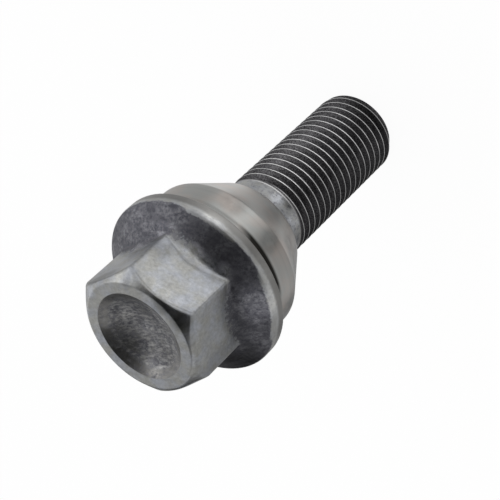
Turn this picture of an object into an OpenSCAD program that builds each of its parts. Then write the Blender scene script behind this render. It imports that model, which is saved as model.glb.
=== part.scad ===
// Wheel bolt with a captive conical seat collar.
// The bolt stands on its thread tip: origin on the axis at the tip, +Z up to the head.

/* [Thread] */
// Nominal diameter of the thread, over the crests
thread_d = 14; // [12:0.5:16]
// Length of the thread, from the tip to the neck
thread_len = 28; // [20:0.5:40]
// Depth and height of the chamfer that leads the thread in
tip_chamfer = 1.1; // [0.6:0.1:1.8]

/* [Neck] */
// Length of the plain neck between the thread and the collar's seat
neck_len = 4; // [2:0.5:10]
// How far the neck's surface lies below the thread crests
neck_drop = 0.2; // [0.2:0.05:0.4]
// How far the shank under the collar lies below the neck
groove_depth = 0.5; // [0.4:0.05:0.9]
// Radius of the fillet between the shank and the flange
shank_fillet = 0.8; // [0.3:0.1:1.4]

/* [Hexagon head] */
// Wrench size, across the flats
hex_af = 19; // [17:0.5:21]
// Height of the head, from the flange's underside to the end face
head_h = 14.5; // [12:0.5:20]
// Angle of the corner chamfer, measured from the end face
chamfer_angle = 38; // [20:1:45]
// Flat kept between the wrench flats and the start of the chamfer
face_inset = 0.5; // [0.1:0.05:1]

/* [Dished recess] */
// Diameter of the recess at the end face
dish_d = 14.4; // [8:0.2:15]
// Depth of the recess at its middle
dish_depth = 2.4; // [1:0.1:4]
// Width of the broken edge around the recess
dish_lip = 0.3; // [0.1:0.05:0.5]

/* [Flange] */
// Diameter of the forged flange
flange_d = 29; // [27:0.5:34]
// Height of the straight rim
flange_rim_h = 1.65; // [0.8:0.05:3]
// Slope of the flange's face, rising from the rim to the hexagon
flange_face_angle = 36; // [15:1:40]
// Radius of the rounded edge between the rim and the face
flange_edge_r = 0.7; // [0.3:0.1:1.2]
// Radius of the fillet at the foot of the hexagon
flange_root_r = 1.6; // [0.6:0.1:2]
// Broken edge at the flange's underside
flange_back_edge = 0.25; // [0.1:0.05:0.6]

/* [Seat collar] */
// Diameter of the collar's straight band
collar_d = 25.5; // [24:0.5:28]
// Height of the straight band
collar_band_h = 5.1; // [3:0.1:8]
// Included angle of the conical seat
cone_angle = 60; // [50:1:90]
// Wall between the bore and the cone at the small end
nose_wall = 2; // [1.4:0.05:3]
// Radius of the band's edge that faces the flange
collar_edge_r = 1.1; // [0.4:0.1:2]
// Radius of the rounded edge between the band and the cone
cone_edge_r = 1; // [0.3:0.1:2]
// Broken edge at the small end of the cone
nose_edge = 0.35; // [0.1:0.05:0.6]
// Broken edge of the bore, which sits on the neck's shoulder
bore_chamfer = 0.5; // [0.35:0.05:0.8]

/* [Fits] */
// Radial gap between the collar's bore and the shank in it
bore_clearance = 0.3; // [0.15:0.05:0.35]
// Gap between the bore's broken edge and the shoulder it sits on
seat_clearance = 0.03; // [0.02:0.01:0.1]
// Axial play of the collar, seen as the gap under the flange
collar_play = 0.5; // [0.2:0.1:1.5]

/* [Hidden] */
$fn = 96;
arc_steps = 8;

thread_r = thread_d / 2;
neck_r = thread_r - neck_drop;
shank_r = neck_r - groove_depth;
bore_r = shank_r + bore_clearance;
neck_top = thread_len + neck_len;

// The bore's 45 degree edge lies against the shoulder's 45 degree cone.
collar_z = neck_top + neck_r - bore_r - bore_chamfer + seat_clearance * sqrt(2);
collar_r = collar_d / 2;
nose_r = bore_r + nose_wall;
cone_h = (collar_r - nose_r) / tan(cone_angle / 2);
collar_top = collar_z + cone_h + collar_band_h;

flange_z = collar_top + collar_play;
flange_r = flange_d / 2;
head_top = flange_z + head_h;

hex_r = hex_af / 2 / cos(30);
face_r = hex_af / 2 - face_inset;
// The fillet starts just inside the flats, so that it runs out into them.
root_r = hex_af / 2 - 0.05;
rim_top = flange_z + flange_rim_h;

dish_r = dish_d / 2;
dish_ball_r = (dish_r * dish_r + dish_depth * dish_depth) / (2 * dish_depth);

// Points along a circular arc, from one angle to another
function arc(centre, r, from, to) = [
    for (i = [0 : arc_steps])
        let (a = from + (to - from) * i / arc_steps)
        centre + r * [cos(a), sin(a)]
];

// Thread body, neck, shoulder and relieved shank in one turned profile
module shank() {
    rotate_extrude()
        polygon(concat(
            [
                [0, 0],
                [thread_r - tip_chamfer, 0],
                [thread_r, tip_chamfer],
                [thread_r, thread_len - neck_drop],
                [neck_r, thread_len],
                [neck_r, neck_top],
                [shank_r, neck_top + groove_depth]
            ],
            arc([shank_r + shank_fillet, flange_z - shank_fillet], shank_fillet, 180, 90),
            [
                [shank_r + shank_fillet, rim_top],
                [0, rim_top]
            ]
        ));
}

// Forged flange: straight rim, rounded edge, sloping face and a fillet up to the hexagon
module flange() {
    a = flange_face_angle;
    edge = arc([flange_r - flange_edge_r, rim_top], flange_edge_r, 0, 90 - a);
    face_start = edge[arc_steps];
    face_end_r = root_r + flange_root_r * (1 - sin(a));
    face_end_z = face_start[1] + (face_start[0] - face_end_r) * tan(a);
    root = [root_r + flange_root_r, face_end_z + flange_root_r * cos(a)];
    rotate_extrude()
        polygon(concat(
            [
                [0, flange_z],
                [flange_r - flange_back_edge, flange_z],
                [flange_r, flange_z + flange_back_edge]
            ],
            edge,
            arc(root, flange_root_r, 270 - a, 180),
            [[0, root[1]]]
        ));
}

// Hexagon with its corners turned off to a cone
module hexagon() {
    top_r = hex_r + 1;
    intersection() {
        translate([0, 0, flange_z + flange_rim_h / 2])
            cylinder(h = head_h - flange_rim_h / 2, r = hex_r, $fn = 6);
        rotate_extrude()
            polygon([
                [0, flange_z],
                [top_r, flange_z],
                [top_r, head_top - (top_r - face_r) * tan(chamfer_angle)],
                [face_r, head_top],
                [0, head_top]
            ]);
    }
}

// Shallow bowl in the end face, with its rim broken
module dish() {
    translate([0, 0, head_top - dish_depth + dish_ball_r])
        sphere(r = dish_ball_r);
    translate([0, 0, head_top - dish_lip])
        cylinder(h = 2 * dish_lip, r1 = dish_r - dish_lip, r2 = dish_r + dish_lip);
}

// One forging: hexagon, flange, shank and thread body
module bolt() {
    color("slategray")
        difference() {
            union() {
                shank();
                flange();
                hexagon();
            }
            dish();
        }
}

// Loose ring with the conical seat, kept between the flange and the neck's shoulder
module seat_collar() {
    half = cone_angle / 2;
    mouth = shank_fillet + bore_clearance;
    shoulder = [collar_r - cone_edge_r, collar_z + cone_h + cone_edge_r * tan(half / 2)];
    back = [collar_r - collar_edge_r, collar_top - collar_edge_r];
    color("darkgray")
        rotate_extrude()
            polygon(concat(
                [
                    [bore_r, collar_z + bore_chamfer],
                    [bore_r + bore_chamfer, collar_z],
                    [nose_r - nose_edge, collar_z],
                    [nose_r + nose_edge * tan(half), collar_z + nose_edge]
                ],
                arc(shoulder, cone_edge_r, -half, 0),
                arc(back, collar_edge_r, 0, 90),
                [
                    [bore_r + mouth, collar_top],
                    [bore_r, collar_top - mouth]
                ]
            ));
}

bolt();
seat_collar();
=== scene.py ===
from math import acos, atan, atan2, cos, pi, radians, sin, sqrt, tan

import bmesh
import bpy
from mathutils import Matrix, Vector


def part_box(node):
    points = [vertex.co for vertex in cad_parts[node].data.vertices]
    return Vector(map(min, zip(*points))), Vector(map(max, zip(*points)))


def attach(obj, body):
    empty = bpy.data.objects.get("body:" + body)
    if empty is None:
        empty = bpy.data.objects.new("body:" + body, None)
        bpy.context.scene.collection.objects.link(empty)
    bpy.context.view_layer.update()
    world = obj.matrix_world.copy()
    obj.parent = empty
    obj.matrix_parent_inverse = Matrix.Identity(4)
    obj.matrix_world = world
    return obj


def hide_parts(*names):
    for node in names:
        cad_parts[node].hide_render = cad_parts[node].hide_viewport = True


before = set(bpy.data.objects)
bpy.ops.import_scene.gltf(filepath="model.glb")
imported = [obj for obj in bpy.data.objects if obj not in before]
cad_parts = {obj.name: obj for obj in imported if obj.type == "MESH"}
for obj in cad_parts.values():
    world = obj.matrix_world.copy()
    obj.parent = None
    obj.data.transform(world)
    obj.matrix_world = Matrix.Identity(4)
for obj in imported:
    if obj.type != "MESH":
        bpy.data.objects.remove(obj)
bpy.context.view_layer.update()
print("frame loaded")

mm = 0.001

# Heights and radii of the solids, read from the frame
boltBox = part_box("bolt")
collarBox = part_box("seat_collar")
headTop = boltBox[1][2]
flangeRadius = boltBox[1][0]
collarFoot = collarBox[0][2]
collarTop = collarBox[1][2]
collarRadius = collarBox[1][0]


def srgb(hexCode):
    channels = [int(hexCode[i:i + 2], 16) / 255 for i in (0, 2, 4)]
    return [c / 12.92 if c <= 0.04045 else ((c + 0.055) / 1.055) ** 2.4 for c in channels] + [1]


# Kept between 0 and 1, with a soft start and end
def eased(share):
    share = min(1, max(0, share))
    return share * share * (3 - 2 * share)


# 1 near a side of the bolt and 0 away from it, all in degrees except the angle
def shareAround(angle, side, full, none):
    away = abs((angle - radians(side) + pi) % (2 * pi) - pi)
    return eased((radians(none) - away) / radians(none - full))


# How each part of the forging is finished, as shares of these four, which its material reads by name
skinShares = ("darkSkin", "rubbedEdge", "plainRim", "dishSkin")
finishes = {
    "plain": (0, 0, 0, 0),
    "dark": (1, 0, 0, 0),
    "softEdge": (0, 0.15, 0, 0),
    "dish": (0.56, 0, 0.5, 1),
    "dishWall": (0.42, 0, 1, 0.2),
    "worn": (0.4, 0.7, 0, 0),
    "neck": (0.42, 0.45, 0, 0),
    "fading": (0.45, 0, 0, 0),
    "edge": (0, 1, 0, 0),
    "rim": (0, 0, 1, 0),
}


# A finish by its name, or two of them blended: (finish, finish, share of the second)
def finishShares(finish):
    if isinstance(finish, str):
        return Vector(finishes[finish])
    return Vector(finishes[finish[0]]).lerp(Vector(finishes[finish[1]]), finish[2])


# Rounds the corners of an open outline. A sharp corner is (radius from the axis, height, finish), and a
# rounded one goes on with its rounding, steps and the finish after it. Points come back as (radius, height,
# finish shares).
def roundedOutline(corners):
    points = []
    for i, (r, z, first, *rounded) in enumerate(corners):
        if not rounded:
            points.append((r, z, finishShares(first)))
            continue
        rounding, steps, last = rounded
        here = Vector((r, z))
        before = (Vector(corners[i - 1][:2]) - here).normalized()
        after = (Vector(corners[i + 1][:2]) - here).normalized()
        half = acos(max(-1, min(1, before.dot(after)))) / 2
        centre = here + (before + after).normalized() * (rounding / sin(half))
        start = here + before * (rounding / tan(half)) - centre
        end = here + after * (rounding / tan(half)) - centre
        turn = start.angle_signed(end)
        for k in range(steps + 1):
            point = centre + Matrix.Rotation(-turn * k / steps, 2) @ start
            shares = finishShares(first).lerp(finishShares(last), k / steps)
            points.append((point.x, point.y, shares))
    return points


head = {
    "acrossFlats": 19 * mm,
    "edgeRound": 0.5 * mm,  # upright edges of the hexagon
    "height": 14.5 * mm,  # flange underside to end face
    "faceRadius": 9 * mm,  # flat ring, where the corner chamfer starts
    "faceRound": 0.5 * mm,
    "chamferAngle": radians(38),
    "dishRadius": 7.2 * mm,
    "dishDepth": 2.4 * mm,
    "dishRound": 0.22 * mm,
    "flangeFaceAngle": radians(36),
    "flangeFaceHeight": 2.005 * mm,  # rim height up to the sharp corner with the sloping face
    "rimRound": 0.62 * mm,
    "rimBackRound": 0.25 * mm,
    # Roundings that change between a corner of the hexagon and the middle of a flat
    "footRound": (0.9 * mm, 2.5 * mm),
    "chamferRound": (1.1 * mm, 0.5 * mm),
    "wornRound": (1.9 * mm, 0.85 * mm),  # the chamfer's edge on the side that sockets have worn most
    "wornSide": -166,  # degrees round the axis, as all sides below
    "bareSide": -149,  # where the flange's edge is rubbed right through the dark skin
    "halfBareSide": -86,
    "paintedLightSide": -92,  # on the lit side a flat's light skin runs down into the fillet at its foot, as painted light
    "edgeRubFoot": 51 * mm,  # the upright edges are rubbed above this height
    "edgeRubTop": headTop - mm,
}

shank = {
    "grooveRadius": 6.3 * mm,
    "underHeadRound": 0.8 * mm,
    "neckRadius": 6.8 * mm,
    "neckTop": 32 * mm,
    "neckFoot": 27.85 * mm,
    "shoulder": 0.5 * mm,
    "shoulderRound": 0.2 * mm,
}


# Distance from the axis to the hexagon's wall, with its upright edges rounded
def hexReach(angle):
    flat = head["acrossFlats"] / 2
    edge = head["edgeRound"]
    fromEdge = abs((angle + pi / 6) % (pi / 3) - pi / 6)
    centre = (flat - edge) / cos(pi / 6)
    if fromEdge > pi / 6 - atan((flat - edge) * tan(pi / 6) / flat):
        return flat / cos(pi / 6 - fromEdge)
    return centre * cos(fromEdge) + sqrt(edge ** 2 - (centre * sin(fromEdge)) ** 2)


# A rounding of the head at one angle, between its values at a corner and at the middle of a flat
def roundingAt(name, angle):
    atCorner, atFlat = head[name]
    return atCorner + (atFlat - atCorner) * (1 - cos(6 * angle)) / 2


# Outline of the forging at one angle round the axis, from the dish's middle down to the neck's foot.
# Rows are close together where the finish, a stain or the painted light and shade changes.
def forgingOutline(angle):
    wall = hexReach(angle)
    slope = tan(head["flangeFaceAngle"])
    flangeFoot = headTop - head["height"]
    rimTop = flangeFoot + head["flangeFaceHeight"]
    footHeight = rimTop + (flangeRadius - wall) * slope
    chamferFoot = headTop - (wall - head["faceRadius"]) * tan(head["chamferAngle"])
    chamferRound = roundingAt("chamferRound", angle)
    worn = shareAround(angle, head["wornSide"], 22, 44)
    chamferRound += (roundingAt("wornRound", angle) - chamferRound) * worn
    bare = shareAround(angle, head["bareSide"], 16, 32)
    bare = max(bare, 0.8 * shareAround(angle, head["halfBareSide"], 12, 24))
    # painted light: on the lit side the flats stay light down into their foot fillet
    paintedLight = shareAround(angle, head["paintedLightSide"], 22, 34)
    corners = []
    ball = (head["dishRadius"] ** 2 + head["dishDepth"] ** 2) / (2 * head["dishDepth"])
    for r in (0, 0.8, 1.6, 2.4, 3.2, 4, 4.7, 5.3, 5.8, 6.2, 6.6, 6.9):
        height = headTop - head["dishDepth"] + ball - sqrt(ball ** 2 - (r * mm) ** 2)
        corners.append((r * mm, height, "dish" if r < 6 else "dishWall"))
    corners += [
        (head["dishRadius"], headTop, "dishWall", head["dishRound"], 4, "plain"),
        (head["faceRadius"] - 0.38 * mm, headTop, "plain"),
        (head["faceRadius"], headTop, "softEdge", head["faceRound"], 4, "plain"),
        (wall, chamferFoot, "plain", chamferRound, 6, "softEdge"),
    ]
    corners += [(wall, chamferFoot - depth * mm, "plain") for depth in (1.3, 1.8, 2.5, 3.3)]
    corners += [(wall, footHeight + height * mm, "plain") for height in (2.9, 2.2, 1.7)]
    footRound = roundingAt("footRound", angle)
    corners.append((wall, footHeight, ("fading", "plain", paintedLight), footRound, 10, ("dark", "fading", paintedLight)))
    slopingFace = [
        (wall + 1.5 * mm, ("dark", "fading", 0.7 * paintedLight)),
        (wall + 2.1 * mm, "dark"),
        ((wall + flangeRadius) / 2 + 0.4 * mm, "dark"),
        (flangeRadius - 0.85 * mm, "dark"),
        (flangeRadius - 0.5 * mm, ("dark", "worn", bare)),
    ]
    corners += [(r, rimTop + (flangeRadius - r) * slope, finish) for r, finish in slopingFace]
    neck, shoulderRound = shank["neckRadius"], shank["shoulderRound"]
    corners += [
        (flangeRadius, rimTop, ("dark", "edge", bare), head["rimRound"], 7, "edge"),
        (flangeRadius, rimTop - 0.9 * mm, "rim"),
        (flangeRadius, flangeFoot, "rim", head["rimBackRound"], 3, "rim"),
        (shank["grooveRadius"], flangeFoot, "plain", shank["underHeadRound"], 5, "plain"),
        (shank["grooveRadius"], shank["neckTop"] + shank["shoulder"], "plain", shoulderRound, 3, "plain"),
        (neck, shank["neckTop"], "neck", shoulderRound, 3, "neck"),
    ]
    corners += [(neck, height * mm, "neck") for height in (31.2, 30.6, 30, 29.5, 29.1, 28.7, 28.3)]
    # the neck ends inside the thread, which hides its foot
    corners += [
        (neck, shank["neckFoot"], "neck", 0.05 * mm, 2, "neck"),
        (thread["rootRadius"] - 0.2 * mm, shank["neckFoot"] - 0.1 * mm, "plain"),
        (0, shank["neckFoot"] - 0.1 * mm, "plain"),
    ]
    return roundedOutline(corners)


# Angles of the columns round the head: close together at the hexagon's edges, wider on its flats
def columnAngles():
    sector = [-1.32, -0.8, -0.27, 0.27, 0.8, 1.32, 2.6, 4.5, 7.5, 11, 15, 19, 23, 26.5, 30]
    sector += [60 - a for a in reversed(sector[6:-1])]
    return [radians(60 * k + a) for k in range(6) for a in sector]


def addObject(name, bm):
    mesh = bpy.data.meshes.new(name)
    bm.to_mesh(mesh)
    bm.free()
    piece = bpy.data.objects.new(name, mesh)
    bpy.context.collection.objects.link(piece)
    return piece


def closeAndSmooth(bm, distance):
    bmesh.ops.remove_doubles(bm, verts=bm.verts, dist=distance)
    bmesh.ops.recalc_face_normals(bm, faces=bm.faces)
    for face in bm.faces:
        face.smooth = True


# Places darker or lighter than the rest: partly stains and rubbing from handling and storage, partly painted
# light and shade. Each is (degrees round the axis, radius, height, reach across, reach along the axis,
# level), in millimetres.
stainsAndPaintedLight = {
    "forging": [
        # sloping face of the flange
        (-143, 12.4, 47.8, 4.4, 3, 2.6), (-99, 12.4, 47.8, 4.8, 3, 0.62), (150, 12.5, 47.3, 8, 4, 0.15),
        (-30, 12.4, 47.8, 5.5, 4, 1.12), (-58, 11.2, 48.9, 2.2, 1.6, 1.5), (178, 12, 48.2, 2.6, 2, 0.66),
        (-112, 11.6, 48.85, 1.7, 0.7, 2.3),
        # flats, their feet and upright edges
        (-91, 10.6, 49.45, 3.9, 0.95, 2.3), (-33, 9.8, 51, 4.6, 0.95, 1.5), (-67, 10.2, 51.8, 2, 2.2, 0.6),
        (-150, 9.7, 50.2, 7.5, 3, 0.62), (-172, 10, 51.5, 3, 3, 0.8), (-30, 9.5, 55.8, 6, 2.2, 0.84),
        (-60, 10.8, 52, 0.8, 7, 0.75), (-176, 10.4, 53.5, 2.8, 7, 0.65), (-150, 9.6, 54.5, 6.5, 4, 0.86),
        # corner chamfers and the ring round the dish
        (-90, 9.5, 57.6, 5.5, 1.8, 1.2), (-26, 9.6, 57.6, 4.8, 1.6, 0.42), (-120, 9.9, 58.3, 2, 1.5, 0.66),
        (-60, 9.2, 58.8, 1, 0.8, 0.6), (-60, 10, 58.2, 1.8, 1.2, 0.85), (-119, 8.85, 59, 1.9, 0.8, 0.45),
        (-100, 8.85, 59, 2.2, 0.8, 0.4),
        # rim of the flange
        (-167, 14.5, 45, 2.4, 2, 0.65), (-87, 14.4, 46.2, 3, 1.1, 1.7), (-112, 14.4, 46.3, 3.4, 1, 0.78),
        (-124, 14.5, 45, 3.6, 1.8, 1.4), (-72, 14.5, 45, 3.4, 1.8, 1.25),
        # dish
        (-110, 5.8, 57.9, 3.6, 2, 1.45), (165, 4.6, 57.5, 2.8, 2, 0.65), (75, 4.8, 57.5, 2.2, 2, 0.7),
        (30, 6.6, 58.4, 1.4, 1, 1.7), (0, 5.2, 57.6, 1.7, 2, 0.75), (60, 2, 56.8, 1.7, 1.5, 1.35),
        (0, 0, 56.6, 1.3, 1, 1.35), (118, 6.1, 58, 1.8, 1.5, 1.35), (-75, 5.6, 57.8, 2.4, 1.5, 1.25),
        # neck, where the lighter patches are painted highlights
        (-165, 6.8, 29.6, 3, 4, 0.45), (-114, 6.8, 27.9, 1.3, 1.5, 0.3), (-98, 6.8, 28.9, 1.1, 1.9, 1.5),
        (-134, 6.8, 28.6, 1.4, 1.9, 1.45), (-128, 6.8, 29.8, 0.8, 0.9, 1.3), (-110, 6.8, 31, 6, 1.4, 0.75),
    ],
    # the thread: painted light and shade, lighter on one side, darker on the far side and at the tip
    "thread": [
        (-80, 6.9, 19, 5.4, 18, 2), (-176, 6.9, 15, 5.5, 30, 0.5), (-110, 6.6, 0.8, 10, 4, 0.42),
    ],
    "ring": [
        (-156, 9.8, 34.5, 6.8, 7.5, 0.36), (-108, 10.5, 35.5, 2.2, 6, 0.78), (-132, 11, 36.5, 2, 4, 0.68),
        (-118, 12.75, 40.3, 2.3, 3.8, 0.66), (-86, 12.75, 39.8, 2.8, 3.8, 0.66),
        (-178, 12.75, 39.8, 5, 4.4, 0.42),
    ],
}
stainAndLightFade = 0.7  # share of a stain's reach over which it fades


# Writes each vertex's level of stains and painted light and shade into an attribute
def paintStainsAndLight(bm, places):
    layer = bm.verts.layers.float.new("stain")
    for vert in bm.verts:
        level = 1
        for turn, radius, height, across, along, strength in places:
            middle = Vector((cos(radians(turn)), sin(radians(turn)))) * radius * mm
            aside, above = (vert.co.xy - middle).length, vert.co.z - height * mm
            away = Vector((aside / across, above / along)).length / mm
            level *= 1 + (strength - 1) * eased((1 - away) / stainAndLightFade)
        vert[layer] = level


def keepFlatsFlat(piece):
    weighted = piece.modifiers.new("flatShading", "WEIGHTED_NORMAL")
    weighted.mode = "FACE_AREA"
    weighted.weight = 50


# Spins an outline once round the axis. The thread's also climbs, by dvec at each step.
def spinRound(bm, line, steps, **rest):
    edges = [bm.edges.new(pair) for pair in zip(line, line[1:])]
    bmesh.ops.spin(bm, geom=line + edges, cent=(0, 0, 0), axis=(0, 0, 1), angle=2 * pi, steps=steps, **rest)


# The outline is spun once round the axis, then each column is moved onto the outline for its own angle.
def addForging(bm):
    angles = columnAngles()
    outlines = [forgingOutline(angle) for angle in angles]
    row = bm.verts.layers.int.new("row")
    layers = [bm.verts.layers.float.new(name) for name in skinShares]
    line = []
    for k, (r, z, shares) in enumerate(outlines[0]):
        vert = bm.verts.new((r + mm, 0, z))  # off the axis, so that each vertex has an angle after the spin
        vert[row] = k
        line.append(vert)
    spinRound(bm, line, len(angles), use_merge=True)
    for vert in bm.verts:
        column = round(atan2(vert.co.y, vert.co.x) / (2 * pi) * len(angles)) % len(angles)
        angle = angles[column]
        r, z, shares = outlines[column][vert[row]]
        vert.co = (r * cos(angle), r * sin(angle), z)
        for layer, share in zip(layers, shares):
            vert[layer] = share
        if cos(6 * angle) > 0.985 and head["edgeRubFoot"] < z < head["edgeRubTop"]:
            vert[layers[1]] = 0.25  # in the columns at the hexagon's upright edges
    paintStainsAndLight(bm, stainsAndPaintedLight["forging"])
    closeAndSmooth(bm, 0.001 * mm)


thread = {
    "crestRadius": 6.95 * mm,
    "rootRadius": 6.08 * mm,
    "pitch": 1.5 * mm,
    "phase": 0.844 * mm,  # height of a crest on the +X side
    "top": 28.4 * mm,
    "runOutFoot": 27.35 * mm,  # above this the groove fades into the neck
    "runOut": 0.55 * mm,
    "tipRadius": 5.9 * mm,
    "stepsPerTurn": 90,
}


# One pitch of the thread's section: root, flank, crest, flank, root, as (height, radius)
def threadSection():
    root, crest, pitch = thread["rootRadius"], thread["crestRadius"], thread["pitch"]
    half = [(0.5, 0), (0.44, 0.02), (0.385, 0.07), (0.35, 0.14), (0.07, 0.95), (0.038, 1)]
    lower = [(-h * pitch, root + (crest - root) * s) for h, s in half]
    return lower + [(-z, r) for z, r in reversed(lower)]


# One turn of the section is swept up the helix and repeated, then the tip chamfer and run-out are pressed in.
def addThread(bm):
    pitch = thread["pitch"]
    turns = int(thread["top"] / pitch) + 4
    start = thread["phase"] - 2 * pitch
    line = [bm.verts.new((r, 0, start + z)) for z, r in threadSection()]
    spinRound(bm, line, thread["stepsPerTurn"], dvec=(0, 0, pitch / thread["stepsPerTurn"]))
    oneTurn = bm.verts[:] + bm.edges[:] + bm.faces[:]
    for turn in range(1, turns):
        copied = bmesh.ops.duplicate(bm, geom=oneTurn)["geom"]
        moved = [item for item in copied if isinstance(item, bmesh.types.BMVert)]
        bmesh.ops.translate(bm, verts=moved, vec=(0, 0, turn * pitch))
    bmesh.ops.remove_doubles(bm, verts=bm.verts, dist=0.01 * mm)
    for height, side in ((0, -1), (thread["top"], 1)):
        cut = bmesh.ops.bisect_plane(bm, geom=bm.verts[:] + bm.edges[:] + bm.faces[:], dist=1e-7,
                                     plane_co=(0, 0, height), plane_no=(0, 0, side), clear_outer=True)
        rim = [item for item in cut["geom_cut"] if isinstance(item, bmesh.types.BMEdge)]
        bmesh.ops.edgeloop_fill(bm, edges=rim)
    runOutRadius = shank["neckRadius"] - 0.05 * mm
    for vert in bm.verts:
        radius = vert.co.xy.length
        fade = eased((vert.co.z - thread["runOutFoot"]) / thread["runOut"])
        target = radius + (runOutRadius - radius) * fade
        target = min(target, thread["tipRadius"] + vert.co.z)  # a chamfer of 45 degrees
        vert.co.xy *= target / radius
    paintStainsAndLight(bm, stainsAndPaintedLight["thread"])
    closeAndSmooth(bm, 0.0005 * mm)


# Forging and thread are one piece with two materials.
def makeBolt():
    bm = bmesh.new()
    addForging(bm)
    threadMesh = bmesh.new()
    addThread(threadMesh)
    for face in threadMesh.faces:
        face.material_index = 1
    joined = bpy.data.meshes.new("threadPart")
    threadMesh.to_mesh(joined)
    threadMesh.free()
    bm.from_mesh(joined)
    bpy.data.meshes.remove(joined)
    piece = addObject("wheelBolt", bm)
    keepFlatsFlat(piece)
    return piece


collar = {
    "boreRadius": 6.6 * mm,
    "boreBreak": 0.5 * mm,
    "noseRadius": 8.6 * mm,
    "noseRound": 0.3 * mm,
    "coneAngle": radians(30),  # half of the included angle
    "coneRound": 1 * mm,
    "backRound": 1.7 * mm,
    "mouthBreak": 1.1 * mm,
    "mouthRound": 0.2 * mm,
    "breakRound": 0.1 * mm,
    "steps": 160,
}


def makeCollar():
    bore, nose, mouth = collar["boreRadius"], collar["noseRadius"], collar["mouthBreak"]
    finish = "plain"  # the ring has one finish all over
    small = (collar["breakRound"], 2, finish)
    coneTop = collarFoot + (collarRadius - nose) / tan(collar["coneAngle"])
    innerWall = (bore, collarFoot + 4 * mm, finish)
    corners = [
        innerWall,
        (bore, collarFoot + collar["boreBreak"], finish, *small),
        (bore + collar["boreBreak"], collarFoot, finish, *small),
        (nose, collarFoot, finish, collar["noseRound"], 4, finish),
    ]
    # rows along the cone and the band, for the stains and painted shade
    for share in (0.15, 0.3, 0.45, 0.6, 0.75):
        r, z = nose + (collarRadius - nose) * share, collarFoot + (coneTop - collarFoot) * share
        corners.append((r, z, finish))
    corners.append((collarRadius, coneTop, finish, collar["coneRound"], 8, finish))
    corners += [(collarRadius, coneTop + height * mm, finish) for height in (0.9, 1.5, 2.1, 2.7)]
    corners += [
        (collarRadius, collarTop, finish, collar["backRound"], 10, finish),
        (bore + mouth, collarTop, finish, collar["mouthRound"], 2, finish),
        (bore, collarTop - mouth, finish, *small),
        innerWall,
    ]
    bm = bmesh.new()
    line = [bm.verts.new((r, 0, z)) for r, z, shares in roundedOutline(corners)]
    spinRound(bm, line, collar["steps"], use_merge=True)
    paintStainsAndLight(bm, stainsAndPaintedLight["ring"])
    closeAndSmooth(bm, 0.001 * mm)
    piece = addObject("seatCollar", bm)
    keepFlatsFlat(piece)
    return piece


# Adds a node with its settings and its links. A link is a value or (output node, output), and it goes by the
# socket's name or by i and its number: in a colour mix i0 is the share, i6 and i7 are the colours, and
# output 2 is the result.
def addNode(tree, kind, settings=None, **links):
    node = tree.nodes.new("ShaderNode" + kind)
    for key, value in (settings or {}).items():
        setattr(node, key, value)
    for key, value in links.items():
        byNumber = key[0] == "i" and key[1:].isdigit()
        socket = node.inputs[int(key[1:]) if byNumber else key.replace("_", " ")]
        if isinstance(value, tuple) and isinstance(value[0], bpy.types.Node):
            tree.links.new(value[0].outputs[value[1]], socket)
        else:
            socket.default_value = value
    return node


colourMix = {"data_type": "RGBA"}
colourTimes = {"data_type": "RGBA", "blend_type": "MULTIPLY"}


def startMaterial(name):
    material = bpy.data.materials.new(name)
    material.use_nodes = True
    tree = material.node_tree
    tree.nodes.clear()
    return material, tree


# A colour times the piece's stains and painted light and shade, which a noise makes uneven
def withStainsAndPaintedLight(tree, tone, noise):
    stain = addNode(tree, "Attribute", {"attribute_name": "stain"})
    uneven = addNode(tree, "MapRange", Value=(noise, "Fac"), From_Min=0.34, From_Max=0.6, To_Min=0.6)
    return addNode(tree, "Mix", {**colourTimes, "clamp_result": True}, i0=(uneven, "Result"), i6=(tone, 2),
                   i7=(stain, "Fac"))


# Metal with a tone, a roughness and a fine grain pressed into it
def finishMetal(tree, tone, roughness, height, strength, depth):
    bump = addNode(tree, "Bump", Strength=strength, Distance=depth, Height=height)
    shader = addNode(tree, "BsdfPrincipled", Base_Color=(tone, 2), Metallic=1.0, Roughness=roughness,
                     Normal=(bump, "Normal"))
    addNode(tree, "OutputMaterial", Surface=(shader, "BSDF"))


# Forged steel, blasted and zinc-flake coated: a satin grey skin, mottled, rubbed lighter on its edges.
# The dish's floor and the sloping face of the flange keep a darker, rougher forging skin.
forgedSkin = {
    "coolGrey": "B3B6BC",
    "warmGrey": "AFAFAC",
    "rim": "8A8987",
    "edge": "BFBFBD",
    "dark": "939398",
    "darkDeep": "5A5A61",
    "roughness": 0.34,
    "darkRoughness": 0.55,
    "cloudSize": 2.2 * mm,
    "speckSize": 0.5 * mm,  # real grains are finer than the picture could show, here and below
    "streakSize": 0.7 * mm,
    "streakStretch": 2.6,
    "streakTurn": radians(44),
    "scratch": "C6C5C4",
    "scratchSize": 0.42 * mm,
    "scratchStretch": 3.5,
    "grainSize": 0.25 * mm,
    "grainDepth": 0.05 * mm,
}


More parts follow.
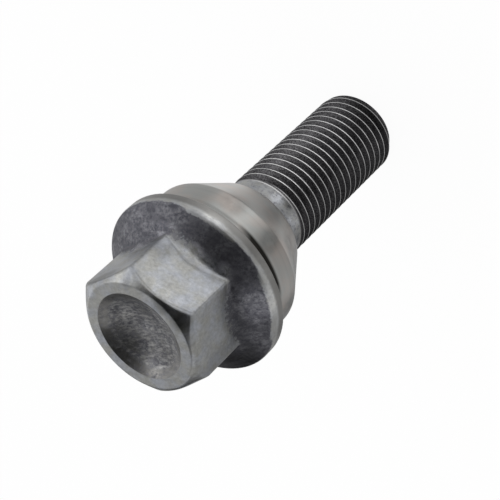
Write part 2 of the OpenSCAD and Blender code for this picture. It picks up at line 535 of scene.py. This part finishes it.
def forgedZincFlake():
    material, tree = startMaterial("forgedZincFlake")
    place = addNode(tree, "TexCoord")
    cloud = addNode(tree, "TexNoise", Vector=(place, "Object"), Scale=1 / forgedSkin["cloudSize"], Detail=3,
                    Roughness=0.55)
    speck = addNode(tree, "TexNoise", Vector=(place, "Object"), Scale=1 / forgedSkin["speckSize"], Detail=4,
                    Roughness=0.7)
    grain = addNode(tree, "TexNoise", Vector=(place, "Object"), Scale=1 / forgedSkin["grainSize"], Detail=3,
                    Roughness=0.6)
    darkSkin, rubbedEdge, plainRim, dishSkin = [
        addNode(tree, "Attribute", {"attribute_name": name}) for name in skinShares]

    # light skin: two greys in clouds, with flecks along the streaks
    hue = addNode(tree, "MapRange", Value=(cloud, "Fac"), From_Min=0.38, From_Max=0.62)
    clean = addNode(tree, "Mix", colourMix, i0=(hue, "Result"), i6=srgb(forgedSkin["coolGrey"]),
                    i7=srgb(forgedSkin["warmGrey"]))
    along = addNode(tree, "Mapping", {"vector_type": "TEXTURE"}, Vector=(place, "Object"),
                    Rotation=(0, 0, forgedSkin["streakTurn"]), Scale=(forgedSkin["streakStretch"], 1, 1))
    streak = addNode(tree, "TexNoise", Vector=(along, "Vector"), Scale=1 / forgedSkin["streakSize"], Detail=4,
                     Roughness=0.65)
    timesPlus = {"operation": "MULTIPLY_ADD"}
    spots = addNode(tree, "Math", timesPlus, i0=(streak, "Fac"), i1=0.75, i2=(speck, "Fac"))
    fleck = addNode(tree, "MapRange", Value=(spots, 0), From_Min=0.65, From_Max=1.1, To_Min=0.79, To_Max=1.15)
    clean = addNode(tree, "Mix", colourTimes, i0=1.0, i6=(clean, 2), i7=(fleck, "Result"))

    # dark forging skin, with more spots where the clouds are light
    smudge = addNode(tree, "MapRange", Value=(cloud, "Fac"), From_Min=0.4, From_Max=0.6, To_Min=0.35,
                     To_Max=0.9)
    spots = addNode(tree, "MapRange", Value=(spots, 0), From_Min=0.72, From_Max=1.04,
                    To_Max=(smudge, "Result"))
    dark = addNode(tree, "Mix", colourMix, i0=(spots, "Result"), i6=srgb(forgedSkin["darkDeep"]),
                   i7=srgb(forgedSkin["dark"]))

    # rim, rubbed edges, and the ragged border between the skins
    rimmed = addNode(tree, "Mix", colourMix, i0=(plainRim, "Fac"), i6=(clean, 2), i7=srgb(forgedSkin["rim"]))
    edgeNoise = addNode(tree, "Math", {"operation": "MULTIPLY"}, i0=(rubbedEdge, "Fac"), i1=(fleck, "Result"))
    edgeShare = addNode(tree, "MapRange", Value=(edgeNoise, 0), From_Min=0.25, From_Max=1.05, To_Max=0.8)
    edged = addNode(tree, "Mix", colourMix, i0=(edgeShare, "Result"), i6=(rimmed, 2),
                    i7=srgb(forgedSkin["edge"]))
    ragged = addNode(tree, "Math", timesPlus, i0=(speck, "Fac"), i1=1.3, i2=(darkSkin, "Fac"))
    ragged = addNode(tree, "Math", timesPlus, i0=(streak, "Fac"), i1=0.6, i2=(ragged, 0))
    skin = addNode(tree, "MapRange", Value=(ragged, 0), From_Min=1.32, From_Max=1.62)
    tone = addNode(tree, "Mix", colourMix, i0=(skin, "Result"), i6=(edged, 2), i7=(dark, 2))

    # fine scratches in the dish
    fine = addNode(tree, "Mapping", {"vector_type": "TEXTURE"}, Vector=(place, "Object"),
                   Rotation=(0, 0, forgedSkin["streakTurn"]), Scale=(forgedSkin["scratchStretch"], 1, 1))
    scratch = addNode(tree, "TexNoise", Vector=(fine, "Vector"), Scale=1 / forgedSkin["scratchSize"],
                      Detail=3, Roughness=0.7)
    scratch = addNode(tree, "MapRange", Value=(scratch, "Fac"), From_Min=0.48, From_Max=0.66, To_Max=0.75)
    scratched = addNode(tree, "Math", {"operation": "MULTIPLY"}, i0=(scratch, "Result"), i1=(dishSkin, "Fac"))
    tone = addNode(tree, "Mix", colourMix, i0=(scratched, 0), i6=(tone, 2), i7=srgb(forgedSkin["scratch"]))
    # stains, and painted light and shade, from the vertex attribute
    tone = withStainsAndPaintedLight(tree, tone, streak)

    coarse = addNode(tree, "Math", {"operation": "MAXIMUM"}, i0=(skin, "Result"), i1=(rubbedEdge, "Fac"))
    rough = addNode(tree, "MapRange", Value=(coarse, 0), To_Min=forgedSkin["roughness"],
                    To_Max=forgedSkin["darkRoughness"])
    finishMetal(tree, tone, (rough, "Result"), (grain, "Fac"), 0.3, forgedSkin["grainDepth"])
    return material


# Rolled thread, a dark grainy coating left in the grooves and bare steel where the crests rub
threadSteel = {
    "coat": "302F31",
    "coatLight": "676668",
    "bare": "EAEAEA",
    "crestFrom": thread["crestRadius"] - 0.03 * mm,  # bare steel begins here and is full at the next radius
    "crestTo": thread["crestRadius"] - 0.005 * mm,
    "neckFrom": shank["neckFoot"] - 0.25 * mm,  # the same where the thread runs out into the neck
    "neckTo": shank["neckFoot"] - 0.05 * mm,
    "runOutFrom": shank["neckRadius"] - 0.2 * mm,
    "runOutTo": shank["neckRadius"] - 0.05 * mm,
    "grainSize": 0.22 * mm,
    "grainDepth": 0.03 * mm,
    "streakSize": 2.5 * mm,
    "roughness": 0.42,
}


# Distance of a point from the bolt's axis, and the point's coordinates
def reachFromAxis(tree, place):
    split = addNode(tree, "SeparateXYZ", Vector=(place, "Object"))
    flat = addNode(tree, "CombineXYZ", X=(split, "X"), Y=(split, "Y"))
    return addNode(tree, "VectorMath", {"operation": "LENGTH"}, i0=(flat, "Vector")), split


def rolledThread():
    material, tree = startMaterial("rolledThread")
    place = addNode(tree, "TexCoord")
    reach, split = reachFromAxis(tree, place)
    grain = addNode(tree, "TexNoise", Vector=(place, "Object"), Scale=1 / threadSteel["grainSize"], Detail=3,
                    Roughness=0.7)
    streak = addNode(tree, "TexNoise", Vector=(place, "Object"), Scale=1 / threadSteel["streakSize"],
                     Detail=3, Roughness=0.6)
    speckled = addNode(tree, "MapRange", Value=(grain, "Fac"), From_Min=0.38, From_Max=0.68)
    coat = addNode(tree, "Mix", colourMix, i0=(speckled, "Result"), i6=srgb(threadSteel["coat"]),
                   i7=srgb(threadSteel["coatLight"]))
    crest = addNode(tree, "MapRange", Value=(reach, "Value"), From_Min=threadSteel["crestFrom"],
                    From_Max=threadSteel["crestTo"])
    rubbed = addNode(tree, "MapRange", Value=(streak, "Fac"), From_Min=0.35, From_Max=0.6, To_Min=0.55)
    worn = addNode(tree, "Math", {"operation": "MULTIPLY"}, i0=(crest, "Result"), i1=(rubbed, "Result"))
    high = addNode(tree, "MapRange", Value=(split, "Z"), From_Min=threadSteel["neckFrom"],
                   From_Max=threadSteel["neckTo"])
    wide = addNode(tree, "MapRange", Value=(reach, "Value"), From_Min=threadSteel["runOutFrom"],
                   From_Max=threadSteel["runOutTo"], To_Max=0.6)
    neck = addNode(tree, "Math", {"operation": "MULTIPLY"}, i0=(high, "Result"), i1=(wide, "Result"))
    bare = addNode(tree, "Math", {"operation": "MAXIMUM"}, i0=(worn, 0), i1=(neck, 0))
    tone = addNode(tree, "Mix", colourMix, i0=(bare, 0), i6=(coat, 2), i7=srgb(threadSteel["bare"]))
    # stains, and painted light and shade, from the vertex attribute
    tone = withStainsAndPaintedLight(tree, tone, streak)
    finishMetal(tree, tone, threadSteel["roughness"], (grain, "Fac"), 0.3, threadSteel["grainDepth"])
    return material


# Turned steel ring, waxed: fine lathe lines round the axis, faint warm and cool clouds, a satin sheen.
# The ring's back edge is painted nearly black on one side, as the shade in the gap behind the flange.
ringSteel = {
    "warm": "B5AEA9",
    "cool": "ADAEAC",
    # painted shade for the gap behind the flange, nearly black
    "paintedGapShade": "1C1A17",
    "cloudSize": 4 * mm,
    "lineSize": 0.3 * mm,  # drawn coarser than real lathe lines, which the picture could not show
    "lineDepth": 0.02 * mm,
    "smudgeSize": 1.5 * mm,
    "gapShadeFrom": 42.15 * mm,
    "gapShadeHeight": 0.4 * mm,
    "gapShadeTurn": radians(-126),
    "roughness": 0.34,
}


def turnedSteel():
    material, tree = startMaterial("turnedSteel")
    place = addNode(tree, "TexCoord")
    reach, split = reachFromAxis(tree, place)
    section = addNode(tree, "CombineXYZ", X=(reach, "Value"), Y=(split, "Z"))
    cloud = addNode(tree, "TexNoise", Vector=(place, "Object"), Scale=1 / ringSteel["cloudSize"], Detail=3,
                    Roughness=0.55)
    lines = addNode(tree, "TexNoise", Vector=(section, "Vector"), Scale=1 / ringSteel["lineSize"], Detail=2,
                    Roughness=0.6)
    hue = addNode(tree, "MapRange", Value=(cloud, "Fac"), From_Min=0.38, From_Max=0.62)
    tone = addNode(tree, "Mix", colourMix, i0=(hue, "Result"), i6=srgb(ringSteel["cool"]),
                   i7=srgb(ringSteel["warm"]))
    level = addNode(tree, "MapRange", Value=(lines, "Fac"), From_Min=0.3, From_Max=0.7, To_Min=0.94,
                    To_Max=1.04)
    tone = addNode(tree, "Mix", colourTimes, i0=1.0, i6=(tone, 2), i7=(level, "Result"))
    smudge = addNode(tree, "TexNoise", Vector=(place, "Object"), Scale=1 / ringSteel["smudgeSize"], Detail=4,
                     Roughness=0.6)
    # stains, and painted shade, from the vertex attribute
    tone = withStainsAndPaintedLight(tree, tone, smudge)
    # painted shade: the back edge darkened on one side, where the gap behind the flange lies in shade
    side = (cos(ringSteel["gapShadeTurn"]) / collarRadius, sin(ringSteel["gapShadeTurn"]) / collarRadius, 0)
    facing = addNode(tree, "VectorMath", {"operation": "DOT_PRODUCT"}, i0=(place, "Object"), i1=side)
    gapShadeSide = addNode(tree, "MapRange", Value=(facing, "Value"), From_Min=0.87, From_Max=0.95, To_Max=0.96)
    paintedGapShade = addNode(tree, "MapRange", Value=(split, "Z"), From_Min=ringSteel["gapShadeFrom"],
                   From_Max=ringSteel["gapShadeFrom"] + ringSteel["gapShadeHeight"], To_Max=(gapShadeSide, "Result"))
    tone = addNode(tree, "Mix", colourMix, i0=(paintedGapShade, "Result"), i6=(tone, 2), i7=srgb(ringSteel["paintedGapShade"]))
    finishMetal(tree, tone, ringSteel["roughness"], (lines, "Fac"), 0.15, ringSteel["lineDepth"])
    return material


# Solved from the edges in the photograph, in the frame of the solids
camera = {
    "azimuth": radians(-14.302),
    "elevation": radians(39.325),
    "roll": radians(-133.951),
    "distance": 220.08 * mm,
    "aim": Vector((-1.958, 0.484, 33.982)) * mm,
    "lens": 106.5,
    "sensor": 36,
    "nearest": 5 * mm,
}


def addCamera():
    data = bpy.data.cameras.new("photoCamera")
    data.lens = camera["lens"]
    data.sensor_width = camera["sensor"]
    data.clip_start = camera["nearest"]
    item = bpy.data.objects.new("photoCamera", data)
    bpy.context.collection.objects.link(item)
    item.matrix_world = (
        Matrix.Translation(camera["aim"])
        @ Matrix.Rotation(camera["azimuth"], 4, "Z")
        @ Matrix.Rotation(pi / 2 - camera["elevation"], 4, "X")
        @ Matrix.Rotation(camera["roll"], 4, "Z")
        @ Matrix.Translation((0, 0, camera["distance"]))
    )
    bpy.context.scene.camera = item


lamps = {
    "overhead": {"from": (60, 60, 400), "to": (0, 0, 35), "size": 300 * mm, "power": 0.35},
}


def addLamps():
    for name, lamp in lamps.items():
        data = bpy.data.lights.new(name, "AREA")
        data.size = lamp["size"]
        data.energy = lamp["power"]
        item = bpy.data.objects.new(name, data)
        bpy.context.collection.objects.link(item)
        place = Vector(lamp["from"]) * mm
        turn = (Vector(lamp["to"]) * mm - place).to_track_quat("-Z", "Y").to_matrix().to_4x4()
        item.matrix_world = Matrix.Translation(place) @ turn
        item.visible_glossy = False  # the metal shows the cards instead


# Studio cards that only the metal's reflections show, in millimetres and degrees. Each has its place, its
# turn, its radius, the radius of a hole in its middle and its level of light. A patch on a card is (x, y,
# radius that it fills, radius where it has faded out, level), and a later patch lies over the earlier ones.
cards = {
    "blackFlag": {
        "at": (0, 0, 170), "turn": (0, 0, 0), "size": 500, "hole": 0.01, "base": 0.68, "patches": [
            (-22, -62, 76, 175, 0), (-10, 45, 35, 85, 0.04), (106, 42, 12, 48, 1.4), (138, 32, 10, 36, 3),
            (40, 275, 30, 100, 0.35), (-215, 350, 70, 170, 0.1)]},
    "greyGround": {
        "at": (0, 0, 0.4), "turn": (0, 0, 0), "size": 700, "hole": 8, "base": 0.42, "patches": [
            (60, 15, 30, 85, 0.6), (2, 6, 12, 40, 0.65), (14, -72, 12, 54, 1.38), (26, 4, 4, 16, 1.1),
            (-50, 12, 8, 24, 0.7), (-92, -34, 15, 42, 0.75)]},
    "whiteSheet": {
        "at": (116, -32, 150), "turn": (0, -125, 0), "size": 50, "hole": 0.01, "base": 1.6, "patches": []},
    "greyWall": {
        "at": (-200, 0, 50), "turn": (0, 90, 0), "size": 260, "hole": 0.01, "base": 0.42, "patches": []},
    "backWall": {
        "at": (-120, 300, 60), "turn": (90, 0, 0), "size": 200, "hole": 0.01, "base": 0.04, "patches": []},
}


def cardCloth(name, card):
    material, tree = startMaterial(name + "Cloth")
    place = addNode(tree, "TexCoord")
    glow = addNode(tree, "Emission", Color=srgb("FFFFFF"), Strength=card["base"])
    level = None
    for x, y, inner, outer, strength in card["patches"]:
        offset = addNode(tree, "VectorMath", {"operation": "SUBTRACT"}, i0=(place, "Object"),
                         i1=(x * mm, y * mm, 0))
        reach = addNode(tree, "VectorMath", {"operation": "LENGTH"}, i0=(offset, 0))
        level = addNode(tree, "MapRange", {"interpolation_type": "SMOOTHSTEP"}, Value=(reach, "Value"),
                        From_Min=inner * mm, From_Max=outer * mm, To_Min=strength,
                        To_Max=(level, "Result") if level else card["base"])
    if level:
        tree.links.new(level.outputs["Result"], glow.inputs["Strength"])
    addNode(tree, "OutputMaterial", Surface=(glow, 0))
    return material


def addCards():
    for name, card in cards.items():
        bm = bmesh.new()
        bmesh.ops.create_circle(bm, segments=64, radius=card["hole"] * mm)
        grown = bmesh.ops.extrude_edge_only(bm, edges=bm.edges[:])["geom"]
        outer = [item for item in grown if isinstance(item, bmesh.types.BMVert)]
        bmesh.ops.scale(bm, verts=outer, vec=(card["size"] / card["hole"],) * 3)
        item = addObject(name, bm)
        item.location = Vector(card["at"]) * mm
        item.rotation_euler = [radians(angle) for angle in card["turn"]]
        item.data.materials.append(cardCloth(name, card))
        item.visible_camera = item.visible_diffuse = item.visible_shadow = item.visible_transmission = False


# One shader for camera, glossy and transmitted rays, and another for the light that falls on the object
def whiteForView(tree, litShader, viewShader):
    path = addNode(tree, "LightPath")
    largest = {"operation": "MAXIMUM"}
    seen = addNode(tree, "Math", largest, i0=(path, "Is Camera Ray"), i1=(path, "Is Glossy Ray"))
    seen = addNode(tree, "Math", largest, i0=(seen, 0), i1=(path, "Is Transmission Ray"))
    return addNode(tree, "MixShader", Fac=(seen, 0), i1=(litShader, 0), i2=(viewShader, 0))


def addWorld():
    world = bpy.data.worlds.new("studio")
    bpy.context.scene.world = world
    world.use_nodes = True
    tree = world.node_tree
    tree.nodes.clear()
    lit = addNode(tree, "Background", Color=srgb("FFFFFF"), Strength=0.8)
    view = addNode(tree, "Background", Color=srgb("FFFFFF"), Strength=1.0)
    mix = whiteForView(tree, lit, view)
    addNode(tree, "OutputWorld", Surface=(mix, 0))


# Pale paper whose light hides most of it from the camera, and leaves a faint shadow
def addFloor():
    bm = bmesh.new()
    bmesh.ops.create_grid(bm, x_segments=1, y_segments=1, size=2)
    floor = addObject("paleFloor", bm)
    material, tree = startMaterial("paleFloorPaper")
    paper = addNode(tree, "BsdfDiffuse", Color=srgb("F2F2F2"))
    glow = addNode(tree, "Emission", Color=srgb("FFFFFF"), Strength=1.0)
    mix = whiteForView(tree, paper, glow)
    kept = addNode(tree, "MixShader", Fac=0.95, i1=(paper, 0), i2=(mix, 0))
    addNode(tree, "OutputMaterial", Surface=(kept, 0))
    floor.data.materials.append(material)


def main():
    bolt = makeBolt()
    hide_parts("bolt")
    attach(bolt, "bolt")
    print("bolt made")
    ring = makeCollar()
    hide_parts("seat_collar")
    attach(ring, "collar")
    print("collar made")
    bolt.data.materials.append(forgedZincFlake())
    bolt.data.materials.append(rolledThread())
    ring.data.materials.append(turnedSteel())
    print("materials made")
    addCamera()
    addWorld()
    addFloor()
    addLamps()
    addCards()
    bpy.context.scene.view_settings.view_transform = "Standard"
    print("camera, floor and light made")


main()
